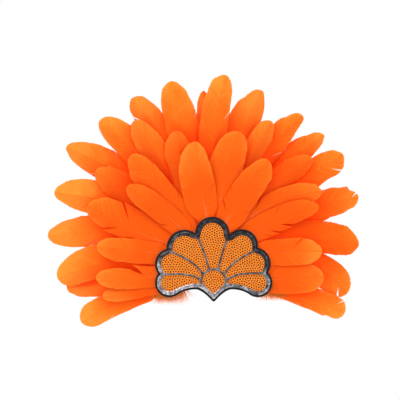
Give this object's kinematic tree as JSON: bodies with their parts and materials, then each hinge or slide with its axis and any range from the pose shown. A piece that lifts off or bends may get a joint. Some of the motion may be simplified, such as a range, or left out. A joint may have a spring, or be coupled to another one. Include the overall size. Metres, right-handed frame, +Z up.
{
  "type": "carnival feather headdress",
  "caption": "Fan of dyed goose feathers in three overlapping rows behind a scalloped sequin patch, worn upright on the forehead and held by an elastic loop round the head",
  "frame": {"origin": "middle of the felt backing's rear face, where it rests on the forehead", "axes": "+Z up as worn, +X to the right of a viewer facing the wearer, -Y forward towards that viewer, so the elastic loop lies on the +Y side"},
  "size_m": [0.3754, 0.1978, 0.3023],
  "materials": {
    "feather": "dyed goose feather, soft sheen",
    "felt": "black wool felt",
    "foil": "silver foil fabric with a faint rainbow sheen",
    "sequin": "orange cup sequins sewn in rows",
    "elastic": "black woven elastic"
  },
  "bodies": {
    "root": {"feather_back_01": "feather", "feather_back_02": "feather", "feather_back_03": "feather", "feather_back_04": "feather", "feather_back_05": "feather", "feather_back_06": "feather", "feather_back_07": "feather", "feather_back_08": "feather", "feather_back_09": "feather", "feather_back_10": "feather", "feather_back_11": "feather", "feather_back_12": "feather", "feather_back_13": "feather", "feather_back_14": "feather", "feather_back_15": "feather", "feather_back_16": "feather", "feather_back_17": "feather", "feather_back_18": "feather", "feather_back_19": "feather", "feather_mid_01": "feather", "feather_mid_02": "feather", "feather_mid_03": "feather", "feather_mid_04": "feather", "feather_mid_05": "feather", "feather_mid_06": "feather", "feather_front_01": "feather", "feather_front_02": "feather", "feather_front_03": "feather", "feather_front_04": "feather", "feather_front_05": "feather", "feather_front_06": "feather", "feather_front_07": "feather", "feather_front_08": "feather", "feather_front_09": "feather", "feather_front_10": "feather", "feather_front_11": "feather", "feather_front_12": "feather", "patch_felt": "felt", "foil_layer": "foil", "sequin_top": "sequin", "sequin_centre": "sequin", "sequin_upper_left": "sequin", "sequin_middle_left": "sequin", "sequin_lower_left": "sequin", "sequin_upper_right": "sequin", "sequin_middle_right": "sequin", "sequin_lower_right": "sequin", "felt_backing": "felt", "elastic_loop": "elastic"}
  },
  "joints": []
}
